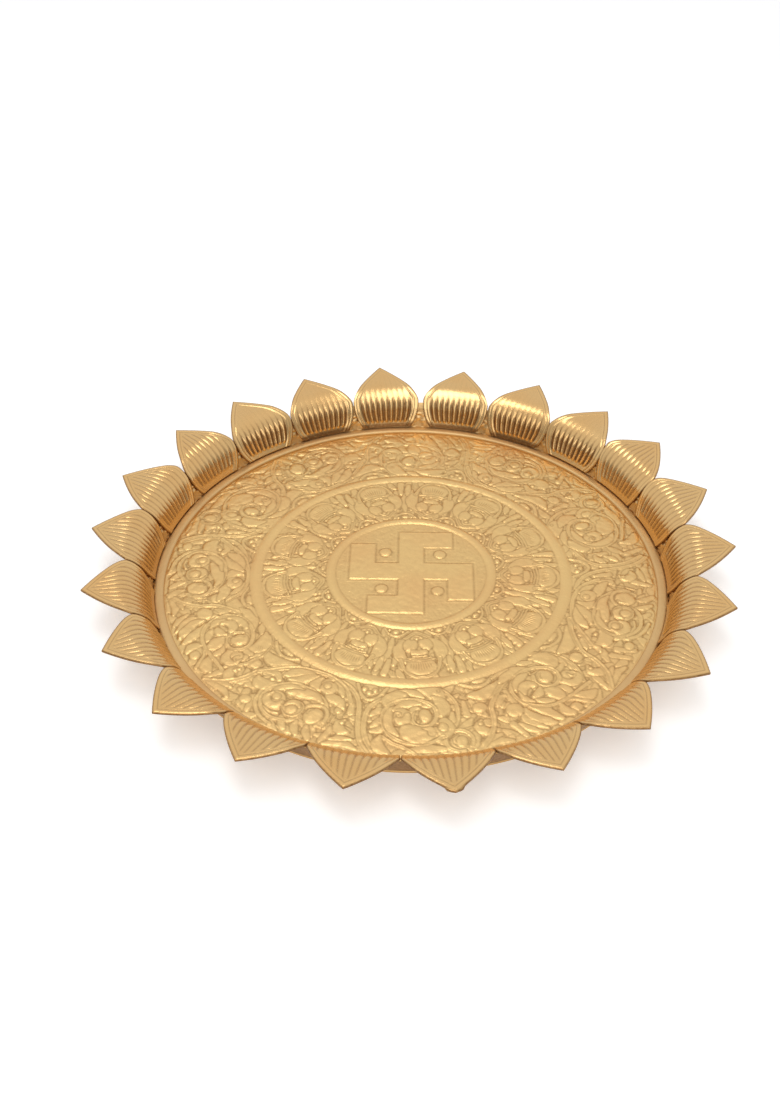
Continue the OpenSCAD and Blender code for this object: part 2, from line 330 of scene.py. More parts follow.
def scroll_ring():
    """Scroll with a stem that winds in to a ringed bud, a curled bud beside it."""
    puff([(-9.5, 17.8), (-3, 17.4), (3, 17.6), (8.5, 18.6)], [1.2, 2.1, 2.0, 0.9], 0.6)
    twin([(4.5, 21.0), (9.6, 16.6), (15.4, 13.4), (20.6, 8.8)], 0.9)
    comb((14.6, 16.4), 60, 5, 3.4)
    puff([(17.5, 19.5), (20.6, 17.4), (22.2, 13.6), (20.8, 9.0)], [1.2, 2.4, 2.3, 0.8])
    comb((23.4, 4.4), 30, 6, 3.6)
    comb((22.6, -2.6), 20, 5, 3.6)
    twin(arc((-16.2, 12.8), 6.4, 150, 470), 0.95)
    relief.dome((-16.6, 13.0), 4.8, 4.9, 0.5)
    relief.dome((-17.2, 13.4), 3.0, 3.6, 0.95)
    relief.stroke([(-14.2, 14.4), (-13.8, 11.6), (-15.8, 9.6)], [0.5, 0.8, 0.4], 0.85)
    twin([(-8.4, -20.2), (-12.8, -16.0), (-15.8, -10.5), (-16.6, -4.0), (-15.6, 2.0), (-12.4, 6.6)])
    puff([(-13.6, -4.6), (-13.4, 0.6), (-11.4, 3.4)], [1.0, 1.5, 0.7], 0.6)
    puff([(-9.6, 0.6), (-11.0, 5.0), (-8.6, 8.2), (-5.4, 5.6)], [2.0, 3.0, 2.8, 1.4], 0.75)
    relief.dome((-9.0, 4.6), 2.4, 3.0, 1.0, 15)
    puff([(-8.6, -13.0), (-6.6, -16.6), (-2.8, -19.0), (2.0, -20.0)], [2.2, 3.4, 2.8, 0.8])
    comb((-6.2, -13.4), 75, 4, 2.2)
    puff([(-8.4, -2.8), (-9.6, -7.0), (-8.6, -11.0), (-5.0, -15.0)], [1.0, 3.0, 2.6, 0.8], 0.85)
    puff([(-0.6, -14.6), (3.0, -17.2), (7.6, -18.8), (12.6, -19.2)], [0.8, 1.7, 1.5, 0.6], 0.65)
    puff([(8.4, -16.4), (12.8, -15.6), (16.4, -13.4), (17.8, -10.4)], [1.2, 2.8, 2.7, 1.1], 0.9)
    outer = [(-8.8, 10.0), (-3.4, 13.5), (4.0, 14.5), (11.4, 12.4), (16.8, 8.0), (19.4, 1.5)]
    lower = [(19.0, -5.0), (16.0, -10.0), (10.5, -13.0), (4.0, -13.5), (-2.4, -11.2)]
    inner = [(-5.7, -7.2), (-6.1, -1.8), (-3.6, 2.5), (0.4, 3.8), (4.2, 2.2), (5.7, -1.6)]
    twin([*outer, *lower, *inner, (4.6, -5.8)])
    sickle = [(12.2, 9.0), (15.6, 5.0), (16.8, 0.0), (15.4, -6.0), (11.4, -9.8)]
    puff(sickle, [0.8, 1.7, 1.9, 1.7, 0.8], 0.75)
    puff([(-4.6, 8.8), (1.6, 9.4), (6.6, 7.4), (9.4, 2.6)], [1.4, 3.8, 4.0, 1.0], 0.85)
    puff([(-3.6, 8.0), (-3.0, 5.4), (0.4, 5.2)], [1.6, 1.4, 0.5], 0.7)
    puff([(1.0, -10.6), (5.6, -10.8), (10.4, -9.6), (14.0, -6.4)], [0.8, 1.8, 1.8, 0.7], 0.75)
    puff([(2.4, -8.0), (5.4, -6.8), (6.8, -3.6)], [1.0, 1.3, 0.6], 0.6)
    relief.dome((10.2, -3.4), 4.2, 4.9, 0.75, -12)
    puff([(7.4, -3.6), (8.4, -0.2), (11.8, 0.4), (13.4, -2.2)], [1.2, 1.9, 1.7, 0.8], 1.0)
    curl = [(13.6, -2.4), (13.0, -5.2), (11.0, -4.8), (10.8, -3.0)]
    relief.stroke(curl, [0.55, 0.7, 0.6, 0.4], 1.0)
    relief.dome((-0.9, -3.0), 3.2, 4.5, 1.05, 4)
    relief.dome((-8.0, -18.6), 0.8, 0.8, 0.7)


def scroll_buds():
    """Scroll whose stem rounds three curled buds, over a long leaf."""
    for low, high in ((-20, -15), (-13, -9), (-6, -1)):
        puff([(low, 20.0), ((low + high) / 2 + 1, 16.4), (high, 13.0)], [1.2, 1.7, 0.8], 0.6)
    comb((-16.6, 15.6), 100, 4, 3.0)
    twin([(1.0, 21.0), (8.6, 19.0), (14.8, 13.4), (16.8, 5.6)], 0.9)
    relief.dome((20.2, 14.0), 3.2, 2.7, 0.85)
    comb((20.0, 8.6), 115, 6, 3.4)
    puff([(13.6, -1.4), (17.0, 1.4), (20.6, 1.6), (23.4, -1.6)], [1.2, 2.9, 3.0, 1.0], 0.8)
    relief.dome((16.6, -3.6), 1.5, 1.4, 1.0)
    puff([(13.4, -5.2), (16.6, -7.6), (21.0, -6.2)], [1.2, 1.7, 0.9], 0.7)
    left = [(-25.0, -10.0), (-20.0, -15.2), (-14.0, -18.4), (-6.0, -19.8), (1.0, -19.0)]
    twin([*left, (8.0, -17.2), (14.0, -13.8), (19.4, -9.4), (25.0, -4.6)], 1.1)
    puff([(-24.0, -5.2), (-19.4, -7.6), (-14.6, -8.4), (-10.6, -11.0)], [0.8, 2.4, 2.3, 0.9], 0.8)
    puff([(-19.6, -11.6), (-16.2, -14.6), (-11.6, -17.4)], [0.8, 1.6, 0.8], 0.6)
    puff([(-7.0, -10.2), (-4.2, -10.6), (-2.8, -13.4), (-4.8, -17.0)], [1.6, 2.5, 2.2, 0.7], 0.8)
    relief.dome((-10.8, -12.6), 4.4, 4.4, 0.8)
    relief.dome((-9.6, -13.4), 1.9, 1.9, 1.05)
    puff([(0.0, -16.8), (5.0, -14.8), (9.6, -12.2), (12.8, -8.6)], [0.8, 2.4, 2.5, 0.9], 0.85)
    puff([(-2.0, -17.0), (1.6, -12.8), (4.6, -9.8), (9.6, -7.4)], [0.8, 2.0, 2.1, 0.8], 0.85)
    comb((7.2, -11.0), 40, 4, 2.6)
    for x in (-21.4, -23.2):
        relief.stroke([(x, 1.0), (x - 0.4, 6.0), (x + 0.8, 11.0)], [0.45], 0.65)
    upper = [(-8.2, 9.0), (-6.4, 13.8), (-1.2, 16.6), (5.0, 17.0), (10.5, 14.4), (14.0, 9.5)]
    lower = [(14.3, 3.5), (11.5, -2.2), (6.5, -6.0), (0.0, -7.5), (-7.0, -6.9)]
    twin([*upper, *lower, (-13.5, -4.4), (-18.2, 0.2), (-20.2, 6.0), (-18.4, 11.0)])
    puff([(-13.4, -2.6), (-8.0, -4.4), (-1.4, -3.0), (4.8, -0.2)], [0.7, 2.1, 2.7, 1.2], 0.95)
    puff([(-1.0, -5.6), (5.0, -4.4), (10.0, -0.4), (12.0, 4.0)], [0.5, 1.3, 1.3, 0.6], 0.6)
    twin(arc((-14.2, 5.8), 6.6, 165, 345), 0.8)
    relief.dome((-14.2, 6.4), 4.7, 5.5, 0.95, -8)
    relief.stroke([(-10.8, 6.4), (-10.6, 4.0), (-12.0, 2.6)], [0.4, 0.7, 0.4], 1.0)
    relief.stroke([(1.6, 13.4), (5.4, 14.6), (9.6, 13.0)], [0.9], 0.7)
    comb((5.0, 14.9), 85, 5, 1.8)
    relief.dome((7.8, 6.4), 5.1, 5.4, 0.75)
    hood = [(3.6, 6.6), (5.0, 10.0), (9.2, 10.6), (12.2, 7.2), (11.0, 3.4)]
    puff(hood, [1.0, 1.6, 1.8, 1.5, 0.6], 1.0)
    relief.dome((8.0, 5.0), 2.4, 2.3, 1.1)
    relief.dome((-3.0, 7.4), 5.8, 6.2, 0.7)
    relief.stroke(arc((-3.0, 7.2), 5.2, 40, 330, 1.05), [0.45], 0.95)
    puff([(-5.6, 5.4), (-3.2, 3.6), (-0.2, 4.4), (1.2, 7.6)], [0.6, 1.3, 1.4, 0.6], 0.9)
    relief.dome((-2.9, 8.4), 2.9, 3.0, 1.1)


def scroll_wheel():
    """Scroll with its ringed boss low down and loose leaves round it."""
    puff([(-18.6, 15.4), (-13.6, 15.6), (-9.6, 12.0)], [1.0, 2.7, 1.4], 0.8)
    twin([(-13.0, 20.6), (-9.6, 17.0), (-6.0, 13.2), (-1.6, 11.6)], 0.8)
    relief.dome((-4.4, 17.8), 3.2, 2.9, 0.85)
    puff([(-0.6, 20.0), (1.6, 16.4), (0.4, 12.4)], [1.4, 2.2, 0.8], 0.7)
    comb((4.2, 15.6), 55, 4, 5.0)
    puff([(6.0, 19.4), (8.2, 14.4), (10.4, 9.8), (14.0, 4.8)], [1.2, 2.2, 2.0, 0.7], 0.75)
    puff([(10.4, 19.6), (14.2, 15.6), (17.2, 10.6), (16.4, 4.6)], [1.2, 2.7, 2.6, 0.8], 0.9)
    comb((13.2, 12.0), -40, 4, 2.8)
    puff([(15.2, 20.0), (18.8, 15.0), (20.8, 10.2), (19.4, 5.0)], [0.7, 1.3, 1.3, 0.5], 0.7)
    puff([(19.4, 19.6), (22.8, 15.2), (24.4, 10.4)], [0.9, 1.5, 0.8], 0.65)
    relief.dome((21.0, 2.6), 4.4, 4.2, 0.9)
    comb((20.6, -5.4), 25, 5, 4.0)
    comb((21.4, -10.6), 15, 5, 4.4)
    twin([(-18.4, 7.4), (-21.0, 0.6), (-21.4, -6.0), (-19.0, -13.0), (-14.5, -18.4), (-9.0, -21.6)])
    puff([(-18.6, -6.0), (-18.2, -11.0), (-14.8, -16.0)], [0.8, 1.3, 0.6], 0.6)
    hood = [(-17.8, -0.6), (-18.4, 3.4), (-14.6, 5.4), (-10.6, 2.0), (-10.8, -3.0)]
    puff(hood, [0.9, 1.6, 2.2, 1.9, 0.8], 0.85)
    relief.dome((-14.6, -0.4), 3.0, 3.2, 0.7)
    relief.stroke([(-17.6, 2.0), (-15.6, 1.8), (-15.2, -1.2)], [0.5, 0.8, 0.4], 1.0)
    puff([(-16.8, -6.8), (-13.0, -6.2), (-11.4, -8.6)], [1.2, 1.9, 0.8], 0.65)
    puff([(-12.2, -8.4), (-14.2, -12.0), (-11.6, -16.4), (-6.4, -19.2)], [1.2, 3.2, 3.0, 0.9], 0.85)
    comb((-15.0, -12.6), -35, 4, 3.2)
    puff([(-5.6, -17.2), (-2.0, -18.8), (0.6, -20.6)], [1.0, 1.6, 0.7], 0.6)
    puff([(-1.6, -15.2), (4.0, -17.0), (10.0, -17.2), (15.6, -15.2)], [0.6, 2.2, 2.6, 0.9], 0.9)
    comb((15.6, -16.6), -30, 4, 3.0)
    puff([(7.0, -20.2), (12.0, -20.4), (17.0, -19.4)], [0.7, 1.1, 0.6], 0.6)
    outer = [(-20.0, 9.6), (-12.0, 10.4), (-4.0, 11.2), (3.6, 10.6), (9.8, 7.4), (13.8, 2.4)]
    lower = [(15.2, -3.6), (13.2, -9.6), (8.0, -13.2), (1.0, -14.4), (-5.4, -12.8)]
    inner = [(-10.2, -9.0), (-11.4, -4.0), (-9.0, 0.0), (-4.4, 1.2), (-0.2, -0.6), (1.6, -5.0)]
    twin([*outer, *lower, *inner, (-0.4, -9.2)])
    puff([(9.6, 3.8), (12.2, 0.0), (11.8, -4.8)], [0.7, 1.6, 0.8], 0.8)
    puff([(-8.6, 8.0), (-7.6, 4.8), (-5.0, 3.0)], [1.6, 1.6, 0.7], 0.65)
    puff([(-3.8, 9.0), (-1.8, 5.6), (0.6, 1.0)], [1.2, 3.2, 1.0], 0.9)
    puff([(2.0, 8.4), (5.6, 6.2), (8.4, 3.0)], [1.0, 1.7, 0.8], 0.65)
    puff([(1.4, -12.2), (5.2, -11.8), (9.2, -10.2), (12.4, -6.8)], [0.8, 1.8, 1.8, 0.8], 0.75)
    puff([(3.0, -4.2), (5.2, -6.4), (8.8, -5.8), (10.4, -2.2)], [1.3, 2.1, 2.0, 0.8], 0.85)
    puff([(1.8, -1.4), (4.4, 1.0), (8.0, 1.2)], [0.8, 2.1, 1.1], 1.0)
    relief.dome((-4.8, -5.8), 4.1, 4.6, 1.05)
    relief.stroke([(-1.8, -4.4), (-2.2, -7.2), (-4.0, -8.6)], [0.4, 0.6, 0.3], 1.05)


def link(arched):
    """The stems that cross the band between two scrolls, over an arch or a long leaf."""
    for low, high in ((-16, -12), (-10, -7), (9, 5), (14, 11)):
        puff([(low, 19.0), (high, 11.0)], [1.2, 1.6], 0.6)
        puff([(high, -1.0), (low * 0.7, -9.0)], [1.6, 1.0], 0.6)
    puff([(-3.0, 20.0), (2.4, 18.2), (7.6, 18.8), (12.4, 20.4)], [0.9, 1.8, 1.7, 0.8], 0.65)
    puff([(0.4, 14.8), (5.0, 15.4), (10.4, 17.0)], [0.8, 1.5, 0.8], 0.65)
    puff([(3.2, 11.0), (6.6, 11.0), (8.4, 7.4), (6.2, 4.2)], [1.0, 2.2, 2.0, 0.8], 0.85)
    relief.dome((7.0, 6.2), 1.3, 1.3, 1.0)
    comb((5.4, 1.0), 60, 5, 3.4)
    puff([(-9.6, -1.2), (-8.2, 2.6), (-6.2, 5.0)], [0.9, 1.6, 0.7], 0.75)
    comb((-9.8, 9.0), 80, 5, 3.6)
    puff([(-9.8, -6.4), (-7.0, -5.0), (-4.4, -1.6)], [1.0, 1.8, 0.8], 0.65)
    if arched:
        stem = [(-10.0, 18.0), (-6.4, 13.6), (-3.8, 8.0), (-2.4, 1.6), (-2.3, -4.6), (-4.4, -9.8)]
        twin([*stem, (-9.0, -14.6), (-15.6, -18.4)], 1.15)
        arch = [(-7.8, -20.4), (-5.6, -14.8), (-2.4, -11.6), (0.8, -11.4), (3.8, -14.6)]
        twin([*arch, (6.6, -20.0)], 0.8)
        relief.dome((0, -17.8), 4.2, 4.0, 0.45)
        relief.dome((-2.5, -17.6), 1.4, 1.5, 0.9)
        relief.dome((2.5, -17.4), 1.6, 1.6, 0.95)
        relief.dome((0, -15.6), 1.6, 1.4, 0.85)
        stem = [(-9.0, 21.0), (-4.6, 16.2), (-1.4, 9.6), (0.5, 2.0), (2.2, -6.0), (5.4, -12.6)]
        twin([*stem, (10.4, -17.4), (16.0, -19.8)], 1.1)
    else:
        relief.dome((3.8, -3.2), 3.6, 3.2, 0.85)
        twin([(-9.0, -20.0), (-6.0, -17.0), (-2.0, -15.8), (3.0, -17.0), (7.4, -20.4)], 0.8)
        relief.dome((-2.0, -19.6), 3.8, 1.9, 0.8)
        leaf = [(-13.0, -17.0), (-6.6, -12.6), (-0.4, -10.4), (6.0, -11.8)]
        puff(leaf, [0.8, 2.5, 2.9, 1.1], 0.95)
        comb((8.0, -15.0), 40, 4, 3.0)
        stem = [(13.0, 20.6), (5.2, 14.2), (0.6, 6.4), (-1.4, -2.0), (-6.4, -8.6)]
        twin([*stem, (-12.4, -14.2), (-19.0, -18.6)], 1.15)


def bloom():
    """Two buds over pointed rings, under a ribbed cap in an arched border, leaves beside them."""
    for radius in (9.4, 7.4, 5.4):
        across = (-1.0, -0.6, -0.15, 0.15, 0.6, 1.0)
        twin([(x * radius, -9.0 - (1 - abs(x)) * radius * 0.78) for x in across], 0.62, 0.6)
    puff([(-9.8, 4.2), (-11.0, -1.0), (-9.4, -6.0), (-6.0, -10.0)], [1.4, 2.8, 2.5, 0.9], 0.75)
    puff([(7.4, 4.4), (9.8, 0.4), (9.6, -5.0), (6.8, -9.6)], [1.6, 2.6, 2.3, 0.9], 0.8)
    relief.dome((0, -6.8), 6.0, 4.6, 0.5)
    relief.dome((-3.9, -6.6), 3.4, 4.6, 0.9, 18)
    relief.dome((3.8, -6.2), 3.7, 4.9, 0.95, -14)
    relief.stroke([(-2.4, -10.6), (0.1, -12.6), (2.6, -10.6)], [0.9], 0.8)
    relief.dome((0.1, -10.6), 1.3, 1.2, 1.0)
    puff([(-3.0, -1.2), (0, -0.6), (3.0, -1.2)], [1.4, 1.7, 1.4], 0.8)
    relief.stroke([(-3.6, 1.5), (0, 2.0), (3.6, 1.5)], [0.6], 0.8)
    half = [(9.8, 3.4), (8.9, 8.6), (6.4, 13.4), (2.4, 15.8)]
    twin([*((-x, y) for x, y in half), *half[::-1]], 0.95)
    relief.dome((0, 8.8), 7.9, 6.0, 0.72)
    for x in np.linspace(-4.6, 4.6, 9):
        top = 11.6 - 0.08 * x * x
        relief.grooves((x * 1.06, (top + 6.2) / 2), 90 - 3.2 * x, (top - 6.2) * 0.62, 0.5, 3.0, 0.3)
    relief.stroke([(-7.6, 3.9), (0, 5.0), (7.6, 3.9)], [0.6], 0.75)
    relief.stroke([(-6.0, 2.7), (0, 3.5), (6.0, 2.7)], [0.5], 0.72)


def bloom_leaves():
    """Tall leaves and a small arch that fill the ground between two blooms."""
    puff([(-3.6, -9.6), (-4.6, -1.0), (-4.2, 7.4)], [0.9, 1.8, 1.2], 0.65)
    puff([(3.6, -9.4), (4.8, -1.2), (4.4, 8.0)], [0.9, 1.9, 1.2], 0.7)
    puff([(0.4, -10.4), (0.2, -2.0), (1.2, 5.4)], [0.8, 1.9, 1.2], 0.65)
    puff([(2.2, 4.0), (2.6, 9.0), (3.4, 13.0)], [0.9, 1.5, 1.1], 0.65)
    puff([(-1.4, 5.4), (-1.4, 10.0), (-1.0, 14.4)], [1.1, 1.5, 1.7], 0.8)
    comb((5.2, 13.0), 80, 3, 3.4)
    comb((-5.0, 12.8), 100, 3, 3.4)
    twin([(-6.0, -16.8), (-3.4, -13.4), (0, -11.8), (3.4, -13.4), (6.0, -16.8)], 0.6, 0.6)
    relief.dome((0, -15.0), 2.0, 1.5, 0.8)
    for x in (-3.4, 3.4):
        relief.dome((x, -16.0), 1.0, 0.9, 0.6)


# Small leaves that fill whatever ground the motifs of both bands leave open
for radius in np.arange(86.0, 126, 4.4):
    for turn in np.arange(0, 360, 470 / radius):
        out, about = rng.normal(0, 0.8), rng.normal(0, 1.5)
        relief.at(radius + out, turn + about, 1, rng.uniform(-50, 50))
        bend = rng.uniform(-2.4, 2.4)
        puff([(-4.2, 0), (0, bend), (4.2, 0.4 * bend)], [0.8, 1.9, 0.9], rng.uniform(0.3, 0.42))
for radius in np.arange(48.0, 76, 4.5):
    for turn in np.arange(0, 360, 440 / radius):
        out, about = rng.normal(0, 0.6), rng.normal(0, 1.5)
        relief.at(radius + out, turn + about, 1, 90 + rng.uniform(-35, 35))
        bend = rng.uniform(-1.5, 1.5)
        puff([(-3.6, 0), (0, bend), (3.6, 0)], [0.7, 1.6, 0.8], rng.uniform(0.32, 0.45))

# Outer band: the scrolls' middle radius, their places in degrees as the craftsman laid them out by
# eye, their kinds, and the scrolls that an arched link follows
SCROLL_R = 104.6
SCROLLS = [24, 58, 90, 121, 152, 182, 211, 241, 275, 309, 344]
KINDS = [scroll_ring, scroll_buds, scroll_wheel, scroll_buds, scroll_ring, scroll_buds]
KINDS += [scroll_wheel, scroll_buds, scroll_ring, scroll_wheel, scroll_buds]
ARCHED = (1, 4, 7, 10)
for k, (turn, after) in enumerate(zip(SCROLLS, [*SCROLLS[1:], SCROLLS[0] + 360])):
    middle = (turn + after) / 2 + rng.normal(0, 0.4)
    relief.at(SCROLL_R, middle, rng.uniform(0.98, 1.02), rng.normal(0, 1.5))
    link(k in ARCHED)
for turn, kind in zip(SCROLLS, KINDS):
    relief.at(SCROLL_R, turn, rng.uniform(0.96, 1.0), rng.normal(0, 2))
    kind()

# Inner band: leaves halfway between the blossoms, then the blossoms
BLOOM_R, BLOOMS, BLOOM_TURN = 61.4, 13, 1.7
for k in range(BLOOMS):
    turn = 360 * (k + 0.5) / BLOOMS - BLOOM_TURN + rng.normal(0, 0.6)
    relief.at(BLOOM_R, turn, rng.uniform(0.98, 1.02), rng.normal(0, 2))
    bloom_leaves()
for k in range(BLOOMS):
    turn = 360 * k / BLOOMS - BLOOM_TURN + rng.normal(0, 0.7)
    relief.at(BLOOM_R, turn, rng.uniform(0.97, 1.0), rng.normal(0, 2))
    bloom()

# Medallion sign: four flat arms with hooks, a sunk line just inside their edges, and four dots.
# It is turned by a little, so that its arms stand upright in the photograph.
BAR, HOOK, SIGN_TURN, DOT_R = 13.0, 22.0, 1.4, 14.5 * math.sqrt(2)
REACH = math.sqrt((RINGS[0][0] - RINGS[0][1] / 2 - 0.4) ** 2 - HOOK**2)
gx, gy = axis_mm[None, :], axis_mm[:, None]
a = math.radians(SIGN_TURN)
right = gx * math.cos(a) + gy * math.sin(a)
up = gy * math.cos(a) - gx * math.sin(a)
sign = np.full((SIDE, SIDE), CLEAR)
for c, s in ((1, 0), (0, 1), (-1, 0), (0, -1)):
    x, y = right * c + up * s, up * c - right * s
    upright = np.minimum.reduce([BAR / 2 - np.abs(x), y + BAR / 2, REACH - y])
    hook = np.minimum.reduce([x + BAR / 2, HOOK - x, y - REACH + BAR, REACH - y])
    sign = np.maximum(sign, np.maximum(upright, hook))
flat = 0.6 * np.clip(0.5 + sign / 0.9, 0, 1) - 0.05 * line(sign - 1.5, 0.35)
flat += 0.16 * line(sign + 1.7, 0.4)
inside = np.hypot(gx, gy) < RINGS[0][0]
relief.height = np.where(inside, np.maximum(relief.height, flat), relief.height)
relief.line = np.maximum(relief.line, inside * 0.6 * line(sign + 0.3, 0.4))
for k in range(4):
    relief.at(DOT_R, 45 + 90 * k - SIGN_TURN)
    relief.dome((0, 0), 3.3, 3.3, 0.8)


def blurred(field, reach):
    """A mean over a square of 2 * reach + 1 cells, taken twice."""
    n = 2 * reach + 1
    # Down the columns four times, with the field turned over in between
    for _ in range(4):
        padded = np.pad(field, [(reach + 1, reach), (0, 0)], mode="edge")
        total = np.cumsum(padded, axis=0, dtype=np.float64)
        field = ((total[n:] - total[:-n]) / n).T
    return field


# Punched ground between the shapes, hammered waves and slow dents over the whole sheet
ground = np.clip(1 - relief.height / 0.18, 0, 1)
punch = blurred(rng.normal(0, 1, (SIDE, SIDE)), 1)
relief.height = relief.height + (0.05 + ground * 0.15) * np.clip(punch, -1.2, 1.2)
wavy = blurred(rng.normal(0, 1, (SIDE, SIDE)), 3)
relief.height = relief.height + 0.075 * np.clip(wavy / wavy.std(), -2, 2)
dents = blurred(rng.normal(0, 1, (SIDE, SIDE)), 30)
relief.height = 0.76 * relief.height + 0.16 * dents / np.abs(dents).max()
# Wax stays where the sheet is lower than round about, along the lines and in the ground
around = blurred(relief.height, 5)
sunk = np.clip((around - relief.height) / 0.32, 0, 1)
recess_map = sunk * 0.56 + relief.line * 0.68 + ground * 0.12


def read_grid(field, x, y):
    """Values of a grid at points between its cells."""
    u, v = x / CELL + SIDE // 2, y / CELL + SIDE // 2
    i, j = np.clip(u.astype(int), 0, SIDE - 2), np.clip(v.astype(int), 0, SIDE - 2)
    u, v = u - i, v - j
    return (
        field[j, i] * (1 - u) * (1 - v)
        + field[j, i + 1] * u * (1 - v)
        + field[j + 1, i] * (1 - u) * v
        + field[j + 1, i + 1] * u * v
    )


# Number of points on a disc's first ring
FIRST_RING = 180


def disc_rings(step, doubling):
    """Radii of the floor's rings and the number of points on each, doubled at the given radii."""
    radii = [step / 2]
    while radii[-1] < BASE_R - step:
        radii.append(radii[-1] + step)
    radii.append(BASE_R)
    return np.array(radii), [FIRST_RING * 2 ** sum(r > d for d in doubling) for r in radii]


def spread(radii, counts):
    """Radius and angle of every point of a disc's rings."""
    r = np.repeat(radii, counts)
    a = np.concatenate([np.arange(n) * 2 * np.pi / n for n in counts])
    return r, a


def ring_faces(counts):
    """Faces between a disc's rings, each with as many points as the last or twice as many."""
    start = np.concatenate([[0], np.cumsum(counts)])
    faces = []
    for i in range(len(counts) - 1):
        k, share = np.arange(counts[i]), counts[i + 1] // counts[i]
        outer = [start[i + 1] + (share * k + j) % counts[i + 1] for j in range(share + 1)]
        faces.append(np.stack([start[i] + k, *outer, start[i] + (k + 1) % counts[i]], 1))
    return faces


def floor_height(r, a):
    """Relief and rings over the sheet, at most 1.25 mm. The relief ends at rings and bead."""
    fade = np.clip((FOOT_R - SEAT_GAP - BEAD_W - 0.3 - r) / 0.5, 0, 1)
    for c, w in RINGS:
        fade = fade * np.clip((np.abs(r - c) - w / 2 + 0.2) / 0.8, 0.2, 1)
    h = read_grid(relief.height, r * np.cos(a), r * np.sin(a))
    rings = sum(RING_H * np.clip(1 - ((r - c) / (w / 2)) ** 2, 0, 1) for c, w in RINGS)
    return np.minimum(h * fade + rings, 1.25)


# Face of the floor. The rings are polished, with wax beside them, and the far side gets less wax
# colour, a painted lightening against its darker reflection
top_r, top_n = disc_rings(0.44, (13, 27, 57))
r, a = spread(top_r, top_n)
top = turned(r, a, FLOOR_T + floor_height(r, a))
near_ring = sum(line(np.abs(r - c) - w / 2, 0.4) for c, w in RINGS)
on_ring = sum((np.abs(r - c) < w / 2) * 1.0 for c, w in RINGS)
wax = read_grid(recess_map, r * np.cos(a), r * np.sin(a)) * (1 - on_ring)
wax_and_shade = np.clip(wax + 0.3 * near_ring, 0, 1)
wax_and_shade[r > FOOT_R - BEAD_W - 1] = 0.2
# Painted lightening: the wax colour thins out towards the far side, where the floor mirrors the
# dark far petals
wax_and_shade *= 1 - 0.6 * np.clip((r * np.sin(a) - 85) / 25, 0, 1)
# Underside, coarser, with the relief as faint hollows inside the flat edge that it rests on
low_r, low_n = disc_rings(0.9, (26, 57))
r, a = spread(low_r, low_n)
under = turned(r, a, 0.8 * np.clip(floor_height(r, a), 0, 2))
under[r > BASE_R - 1.5, 2] = 0
# The two middles are closed to a point each, and the cut edge joins the two outermost rings
pole_top, pole_low = len(top) + len(under), len(top) + len(under) + 1
first = np.arange(FIRST_RING)
after = (first + 1) % FIRST_RING
caps = [np.stack([0 * first + pole_top, first, after], 1)]
caps.append(np.stack([0 * first + pole_low, len(top) + after, len(top) + first], 1))
last_top, last_low = len(top) - top_n[-1], pole_top - low_n[-1]
k, share = np.arange(low_n[-1]), top_n[-1] // low_n[-1]
rim = [last_top + (k * share + j) % top_n[-1] for j in range(share, -1, -1)]
caps.append(np.stack([*rim, last_low + k, last_low + (k + 1) % low_n[-1]], 1))
verts = np.vstack([top, under, [[0, 0, FLOOR_T], [0, 0, 0]]])
faces = ring_faces(top_n) + [f[:, ::-1] + len(top) for f in ring_faces(low_n)] + caps
wax_and_shade = np.concatenate([wax_and_shade, np.full(len(under) + 2, 0.35)])
colours = (0.90, 0.61, 0.26), (0.24, 0.115, 0.037), (0.87, 0.545, 0.23)
floor_brass = brass("floor_brass", *colours, rough=0.38, rough_spread=0.14, grain=0.4)
floor = build_mesh("floor_plate_embossed", verts, faces, wax_and_shade, floor_brass)
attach(floor, "root")
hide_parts("floor_plate")

# Border bead: a smooth brass moulding soldered on the floor against the foot of the wall.
# It is hammered by hand, so that its width and height waver a little.
BEAD_H = 1.6
# Power that makes the bead's section fuller than an oval
FULLNESS = 0.62


def tube_faces(rings, columns):
    """Faces of a tube that closes on itself, of rings with this many columns of points."""
    j = np.arange(columns)
    after = (j + 1) % columns
    faces = []
    for i in range(rings):
        here, there = i * columns, (i + 1) % rings * columns
        faces.append(np.stack([there + j, there + after, here + after, here + j], 1))
    return faces


columns, section = 720, 20
a = np.arange(columns) * 2 * np.pi / columns
waver = sum(np.sin(a * n + p) for n, p in zip((5, 9, 14, 23), rng.uniform(0, 6, 4))) / 4
points, wax_and_shade = [], []
for t in np.linspace(-math.pi / 2, math.pi / 2, section):
    x, z = math.sin(t), math.cos(t)
    x, z = math.copysign(abs(x) ** FULLNESS, x) * BEAD_W / 2, abs(z) ** FULLNESS * BEAD_H
    r = FOOT_R - SEAT_GAP - BEAD_W / 2 + x * (1 - 0.04 * (1 + waver) * (x < 0))
    points.append(turned(r, a, FLOOR_T + z * (1 - 0.03 * (1 + waver))))
    wax_and_shade.append(np.full(columns, 0.35 - z / 6))
verts, faces, wax_and_shade = np.vstack(points), tube_faces(section, columns), np.concatenate(wax_and_shade)
colours = (0.78, 0.53, 0.25), (0.30, 0.155, 0.05), (0.72, 0.46, 0.21)
bead_brass = brass("bead_brass", *colours, rough=0.5, rough_spread=0.1, grain=0.3)
bead = build_mesh("border_bead_moulding", verts, faces, wax_and_shade, bead_brass)
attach(bead, "root")
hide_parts("border_bead")

# Wall band: a collar of sheet that stands on the edge of the floor, flared at the top, and coloured
# dark outside as painted shade. Between the feet of the petals its inner face carries a small
# punched ornament.
PETALS, ORNAMENT_R = 22, 135
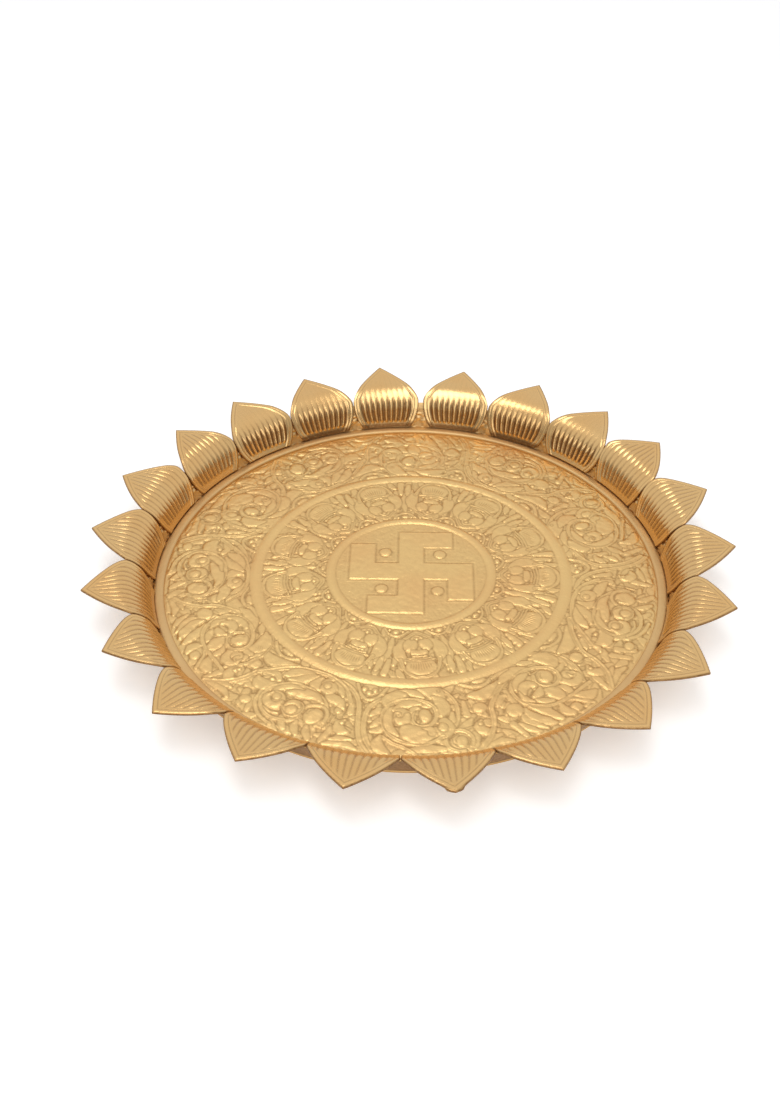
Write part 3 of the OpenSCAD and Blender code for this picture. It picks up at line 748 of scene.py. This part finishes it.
# Its inner face is a path that the petals follow too: straight up, round a bend to the notches
# between the petals, and on round and straight out to their tips. A run is a length along it.
WALL_H, BEND_R = 10.9, 15.0
NOTCH_SLOPE, TIP_SLOPE = math.radians(25), math.radians(5)
BEND_RUN = WALL_H / math.sin(WALL_SLOPE)
NOTCH_RUN = BEND_RUN + BEND_R * (WALL_SLOPE - NOTCH_SLOPE)
BEND_END = BEND_RUN + BEND_R * (WALL_SLOPE - TIP_SLOPE)


def path_point(run, lift):
    """Radius and height of points of the path, raised off it towards the inside by lift."""
    run = np.asarray(run, float)
    slope = np.clip(WALL_SLOPE - (run - BEND_RUN) / BEND_R, TIP_SLOPE, WALL_SLOPE)
    cos, sin = np.cos(slope), np.sin(slope)
    centre_r = FOOT_R + WALL_H / math.tan(WALL_SLOPE) + BEND_R * math.sin(WALL_SLOPE)
    centre_z = FLOOR_T + WALL_H - BEND_R * math.cos(WALL_SLOPE)
    straight, out = run < BEND_RUN, np.maximum(run - BEND_END, 0)
    bent_r = centre_r - (BEND_R + lift) * sin + out * cos
    bent_z = centre_z + (BEND_R + lift) * cos + out * sin
    r = np.where(straight, FOOT_R + run * cos - lift * sin, bent_r)
    return r, np.where(straight, FLOOR_T + run * sin + lift * cos, bent_z)


columns = PETALS * 30
a = np.arange(columns) * 2 * np.pi / columns
# Place in petals, and distance aside from the middle of a gap between two petals
level = a * PETALS / (2 * np.pi)
aside = (level % 1 - 0.5) * 2 * np.pi / PETALS * ORNAMENT_R
# By how much the edge is cut lower, where the petals of the far side touch lower down
lower = 6.0 * np.clip(np.minimum(level - 2.1, 9.9 - level) / 0.8, 0, 1)
lower = lower * lower * (18 - 2 * lower) / 36


def wall_run(run):
    """The run of a ring round the wall, which keeps below the lowered edge."""
    return run - lower * np.clip((run - BEND_RUN + 4) / (NOTCH_RUN - BEND_RUN + 2.5), 0, 1)


runs = np.linspace(0, BEND_RUN, 26)
runs = np.append(runs, np.linspace(BEND_RUN, NOTCH_RUN - 1.5, 14)[1:])
points, wax_and_shade = [], []
# Inner face with the punched ornament: a knob over two smaller ones, under an arch
for run in map(wall_run, runs):
    bump = 0.8 * np.clip(1 - (aside**2 + (run - 6.6) ** 2) / 1.9, 0, 1) ** 0.6
    for x in (-2.3, 2.3):
        knob = np.clip(1 - ((aside - x) ** 2 + (run - 4.9) ** 2) / 0.9, 0, 1)
        bump = np.maximum(bump, 0.6 * knob**0.6)
    arch = np.abs(np.hypot(aside, (run - 4.4) * 0.8) - 4.0)
    bump = np.maximum(bump, 0.5 * np.clip(1 - (arch / 0.55) ** 2, 0, 1))
    r, z = path_point(run, bump * (run > 0))
    points.append(turned(r, a, z))
    wax_and_shade.append(np.clip(0.45 - bump + 0.5 * line(arch - 0.8, 0.3), 0, 1))
# Outer face, down to the edge of the floor, coloured dark all over as painted shade
for run in runs[::-2]:
    r, z = path_point(wall_run(run), -WALL_T) if run > 0 else (BASE_R, FLOOR_T)
    points.append(turned(r, a, z))
    wax_and_shade.append(np.full(columns, 1.5))
verts, faces, wax_and_shade = np.vstack(points), tube_faces(len(points), columns), np.concatenate(wax_and_shade)
colours = (0.82, 0.54, 0.24), (0.24, 0.115, 0.035), (0.72, 0.44, 0.18)
wall_brass = brass("wall_brass", *colours, rough=0.34, rough_spread=0.1, grain=0.25)
wall = build_mesh("wall_band_collar", verts, faces, wax_and_shade, wall_brass)
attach(wall, "root")
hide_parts("wall_band")

# Petals: twenty-two leaves of polished brass sheet, each with a raised double border and eleven
# ribs. They are soldered side by side inside the wall and bent out by hand, so no two are alike.
PETAL_T, TIP_REACH = 0.9, 20.5
PETAL_RUN = (BEAD_H + SEAT_GAP) / math.sin(WALL_SLOPE)
# Share of a petal's half width between two ribs, and width of its foot as a share of its widest
RIB_PITCH, FOOT_SHARE = 2 / 12, 0.77
# The outline runs on straight past the notch by the shoulder, and then draws to a point
SHOULDER, POINT_POWER = 1.5, 1.3
# Half a petal's angle, less 0.2 mm at the notch
HALF = math.pi / PETALS - 0.2 / float(path_point(NOTCH_RUN, 0.0)[0])
colours = (0.875, 0.575, 0.255), (0.25, 0.12, 0.042), (0.885, 0.53, 0.21)
petal_brass = brass("petal_brass", *colours, rough=0.21, rough_spread=0.08, grain=0.2)
# Millimetres by which a petal's tip leans counter-clockwise, and a whole petal sits off its place
LEANS = {2: 2, 3: 2.8, 4: -2, 5: -1.4, 6: -2.1, 7: 1.5, 8: 1.5, 9: 2.5, 10: -1.5, 14: -1.5}
LEANS[21] = -1.5
SLIDES = {3: -0.8, 4: -2.0, 5: -2.6, 6: -2.4}
# Petals of the far side, those that touch lower down, those spared the painted shade on the wall
# below the bend, those with deep painted shade at the foot, those with a painted highlight at the
# bend, and the one whose tip is crumpled
FAR, LOW, WALL_UNSHADED = range(4, 10), range(4, 11), range(2, 12)
FOOT_SHADED, BEND_HIGHLIT, CRUMPLED = range(5, 9), range(14, 21), 18


def petal_front(u, run, edge, traits):
    """Height of the front over the sheet, the ribs' wave, and the share of wax in their grooves.

    edge is the distance in from the outline. Beyond the notch the ribs draw together towards the
    tip and grow flatter; on the far petals, which have no rim ribs, they nearly end there.
    """
    hem = (0.16 + 0.14 * traits["rim_ribs"]) * line(edge - 1.2, 0.85)
    inner = traits["inner"] * line(edge - 2.9, 0.5)
    far = np.clip((run - NOTCH_RUN) / TIP_REACH, 0, 1)
    ribs = (u / (1 - 0.45 * far**1.2) + traits["shift"]) / RIB_PITCH
    crest = 0.5 + 0.5 * np.cos(2 * np.pi * ribs)
    above_foot = np.clip((run - PETAL_RUN - 2.4 - traits["foot"]) / 1.4, 0, 1)
    fade = np.clip((edge - 3.3) / 0.8, 0, 1) * above_foot
    # Deep narrow ridges on the wall turn into wide ones with fine grooves round the bend
    turn = np.clip((run - BEND_RUN + 1.0 - traits["late"]) / 7.5, 0, 1)
    turn = turn * turn * (3 - 2 * turn)
    wave = crest**1.8 * (1 - turn) + (1 - (1 - crest) ** 2.2) * turn
    least = 0.04 + 0.14 * traits["rim_ribs"]
    depth = least + (traits["deep"] - least) * (1 - turn)
    depth += 0.2 * np.clip((run - NOTCH_RUN + 4) / 4, 0, 1) * traits["rim_ribs"]
    depth *= 1 - 0.65 * far
    lined = 0.35 * np.maximum(traits["rim_ribs"], np.clip((NOTCH_RUN - 1 - run) / 4, 0, 1))
    return hem + inner + depth * wave * fade, wave, fade * np.clip(lined + depth, 0, 1)


def petal_grid(columns, rows, traits):
    """Across share, run, angle and distance from the outline on a grid from the foot to the tip."""
    u = np.linspace(-1, 1, columns + 1)[None, :]
    # Half the rows lie below the notch and half of them beyond it
    half = rows // 2
    t = np.linspace(0, 1, half + 1)[:-1, None]
    notch = NOTCH_RUN - traits["low"]
    low = PETAL_RUN + (notch - PETAL_RUN) * t + 0 * u
    reach = NOTCH_RUN + TIP_REACH + traits["reach"] - notch
    end = notch + SHOULDER + (reach - SHOULDER) * (1 - np.abs(u)) ** (1 / POINT_POWER)
    t = np.linspace(0, 1, rows - half + 1)[:, None] ** 0.9
    high = notch + (end - notch) * t
    run = np.vstack([low, high])
    r, _ = path_point(run, 0.0)
    widest = HALF * float(path_point(notch, 0.0)[0])
    narrow = 1 - (1 - FOOT_SHARE) * np.clip((notch - run) / (notch - PETAL_RUN), 0, 1) ** 2.4
    width = np.where(run < notch, HALF * narrow * r, widest)
    across = u * width
    # Distance in from the outline: the sides, and the pointed arch beyond the notch
    steep = np.clip(1 - np.abs(u), 0.02, 1) ** (1 / POINT_POWER - 1)
    slope = np.arctan((reach - SHOULDER) / widest / POINT_POWER * steep)
    edge = np.minimum(width - np.abs(across), (end - run) * np.cos(slope))
    rise = np.clip((run - NOTCH_RUN + 6) / (TIP_REACH + 6), 0, 1) ** 1.5
    lean = traits["slide"] + traits["lean"] * rise
    crumple = 1 + traits["nub"] * line(notch + reach - run, 1.8)
    return u + 0 * run, run, (across * crumple + lean) / r, edge


def quads(grid):
    """Faces of a grid of vertex numbers."""
    corners = [grid[:-1, :-1], grid[:-1, 1:], grid[1:, 1:], grid[1:, :-1]]
    return np.stack(corners, -1).reshape(-1, 4)


def petal(number):
    """One leaf. Its traits are millimetres, or shares between 0 and about 2."""
    far = number in FAR
    traits = {
        "lean": LEANS.get(number, 0) + rng.normal(0, 0.4),
        "reach": rng.normal(0, 0.5),
        "shift": rng.normal(0, 0.015),
        "foot": rng.uniform(0, 1.0),
        "droop": rng.normal(0, 0.25),
        "cup": rng.uniform(0.1, 0.5),
        "slide": SLIDES.get(number, 0),
        "low": 7.0 if number in LOW else 1.5,
        "nub": 1.6 if number == CRUMPLED else 0.0,
        # Painted shade at the foot, deepest on the far petals whose feet face the camera
        "foot_shade": 1.0 if number in FOOT_SHADED else 0.15,
        # A painted highlight at the bend: the wax colour is taken out there
        "bend_highlight": 0.7 if number in BEND_HIGHLIT else 0.0,
        # Painted shade on the wall below the bend, over its orange reflection
        "wall_shade": 0.0 if number in WALL_UNSHADED else 0.3,
        "rim_ribs": 0.0 if far else 1.0,
        "inner": 0.34 if far else 0.24,
        "fold": 0.9 if far else 0.3,
        "deep": 1.0 if far else 0.7,
        "late": 1.5 if far else 0.0,
        # Wax in the ribs' grooves, heavier on the far petals as painted shade
        "wax": 2.1 if far else 1.2,
    }
    columns, rows = 96, 84
    u, run, angle, edge = petal_grid(columns, rows, traits)
    lift, wave, fade = petal_front(u, run, edge, traits)
    sag = traits["droop"] * np.clip((run - NOTCH_RUN) / TIP_REACH, 0, 1) ** 2
    sag = sag + traits["cup"] * u**2 * np.clip((run - BEND_RUN) / 20, 0, 1)
    base = SEAT_GAP + sag
    # The sheet is doubled at the foot, so that the leaf's face stands further in there
    above = np.clip(1 - (run - PETAL_RUN) / (BEND_RUN + 4 - PETAL_RUN), 0, 1)
    doubled = traits["fold"] * above**1.2
    place = angle + 2 * np.pi * (number - 1) / PETALS
    r, z = path_point(run, base + PETAL_T + lift + doubled)
    front = turned(r, place, z).reshape(-1, 3)
    # Wax between the ribs and inside the hem, heavier on the far petals as painted shade; on the
    # near petals it is taken out at the bend as a painted highlight
    in_ribs = (1 - wave) ** 2 * fade * traits["wax"]
    wax_and_shade = np.clip(in_ribs + 0.8 * line(edge - 2.3, 0.3), 0, 1.9)
    highlit = traits["bend_highlight"] * line(run - BEND_RUN - 6, 3.5)
    wax_and_shade = (wax_and_shade + 0.15 * np.clip((edge - 2.8) / 0.5, 0, 1)) * (1 - highlit)
    # Painted shade on the lower wall of the near and side petals, over the orange reflection there
    wax_and_shade = wax_and_shade + traits["wall_shade"] * np.clip((BEND_RUN + 5 - run) / 5, 0, 1)
    # Painted shade along the cut edge, and painted shade at the foot
    wax_and_shade = np.maximum(wax_and_shade, 1.7 * line(edge, 0.5))
    foot_shade = np.clip(1.6 - (run - PETAL_RUN) / 2.4, 0, 1)
    wax_and_shade = np.maximum(wax_and_shade, 2.0 * traits["foot_shade"] * foot_shade)
    # The back is half as fine, and hollow behind the ribs
    every = (slice(None, None, 2), slice(None, None, 2))
    hollow = 0.75 * lift * np.clip(edge / 1.5, 0, 1)
    r, z = path_point(run[every], (base + hollow)[every])
    back = turned(r, place[every], z).reshape(-1, 3)
    # Wax on the back, and painted shade along its cut edge
    back_wax_and_edge_shade = 0.5 + 1.3 * line(edge[every], 0.8)
    grid = np.arange(run.size).reshape(run.shape)
    rear = np.arange(len(back)).reshape(run[every].shape) + len(front)
    faces = [quads(grid), quads(rear)[:, ::-1]]
    for rim, behind in (
        (grid[0], rear[0]),
        (grid[:, -1], rear[:, -1]),
        (grid[-1, ::-1], rear[-1, ::-1]),
        (grid[::-1, 0], rear[::-1, 0]),
    ):
        faces.append(np.stack([rim[2::2], rim[1::2], rim[:-2:2], behind[:-1], behind[1:]], 1))
    wax_and_shade = np.concatenate([wax_and_shade.ravel(), back_wax_and_edge_shade.ravel()])
    verts = np.vstack([front, back])
    piece = build_mesh(f"petal_{number:02d}_leaf", verts, faces, wax_and_shade, petal_brass)
    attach(piece, "root")
    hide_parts(f"petal_{number:02d}")


for number in range(1, PETALS + 1):
    petal(number)

# Setting: a white table and backdrop, one soft box over the tray and a broad one in front of it,
# in a room that is dimmer behind the camera. The camera stands above the near side.
bpy.ops.mesh.primitive_plane_add(size=8, location=(0, 0, 0))
table = bpy.context.object
table.name = "white_table"
paper = Shader("white_paper")
looks = {"Base Color": (0.93, 0.93, 0.93, 1), "Roughness": 0.9}
looks |= {"Emission Color": (1, 1, 1, 1), "Emission Strength": 0.3}
for name, value in looks.items():
    paper.surface.inputs[name].default_value = value
table.data.materials.append(paper.mat)


def soft_light(name, place, aim, wide, high, watts):
    """A white rectangular soft box, metres and watts, aimed at a point."""
    light = bpy.data.lights.new(name, "AREA")
    light.shape, light.size, light.size_y, light.energy = "RECTANGLE", wide, high, watts
    lamp = bpy.data.objects.new(name, light)
    bpy.context.collection.objects.link(lamp)
    lamp.location = place
    lamp.rotation_euler = (Vector(aim) - Vector(place)).to_track_quat("-Z", "Y").to_euler()


soft_light("top_box", (-0.1, -0.05, 1.3), (0, 0, 0), 0.9, 0.5, 3.5)
soft_light("front_box", (0.05, -1.0, 0.85), (0, 0, 0.02), 1.0, 1.3, 5)

world = bpy.data.worlds.new("studio")
bpy.context.scene.world = world
world.use_nodes = True
tree = world.node_tree
tree.nodes.clear()
# The room behind the camera is dark, and the walls beside and beyond the tray are bright
toward = tree.nodes.new("ShaderNodeTexCoord")
part = tree.nodes.new("ShaderNodeSeparateXYZ")
ramp = tree.nodes.new("ShaderNodeMapRange")
ramp.interpolation_type = "SMOOTHSTEP"
for name, value in (("From Min", -0.85), ("From Max", 0.1), ("To Min", 0.3), ("To Max", 0.78)):
    ramp.inputs[name].default_value = value
# The camera itself sees plain white, and the brass mirrors the room
room, seen = (tree.nodes.new("ShaderNodeBackground") for _ in range(2))
for backdrop in (room, seen):
    backdrop.inputs["Color"].default_value = (1, 1, 1, 1)
path = tree.nodes.new("ShaderNodeLightPath")
pick = tree.nodes.new("ShaderNodeMixShader")
out = tree.nodes.new("ShaderNodeOutputWorld")
for socket, entry in (
    (toward.outputs["Generated"], part.inputs[0]),
    (part.outputs[1], ramp.inputs["Value"]),
    (ramp.outputs[0], room.inputs["Strength"]),
    (path.outputs["Is Camera Ray"], pick.inputs[0]),
    (room.outputs[0], pick.inputs[1]),
    (seen.outputs[0], pick.inputs[2]),
    (pick.outputs[0], out.inputs[0]),
):
    tree.links.new(socket, entry)

lens = bpy.data.cameras.new("camera")
lens.lens, lens.sensor_width = 38.68, 36
lens.shift_x, lens.shift_y = -0.01903, 0.0157
lens.clip_start, lens.clip_end = 0.01, 20
camera = bpy.data.objects.new("camera", lens)
bpy.context.collection.objects.link(camera)
# As fitted to the photograph: aimed at the middle of the floor, at 3.8 times the tray's radius
turn, tilt, roll = (math.radians(degrees) for degrees in (1.415, 40.906, 0.685))
away = 3.7817 * 165 * MM
back = Vector((math.sin(turn) * math.cos(tilt), -math.cos(turn) * math.cos(tilt), math.sin(tilt)))
camera.location = back * away + Vector((0, 0, FLOOR_T * MM))
camera.rotation_mode = "QUATERNION"
aim = (-back).to_track_quat("-Z", "Y")
camera.rotation_quaternion = aim @ Matrix.Rotation(roll, 4, "Z").to_quaternion()
bpy.context.scene.camera = camera
bpy.context.scene.view_settings.view_transform = "Standard"
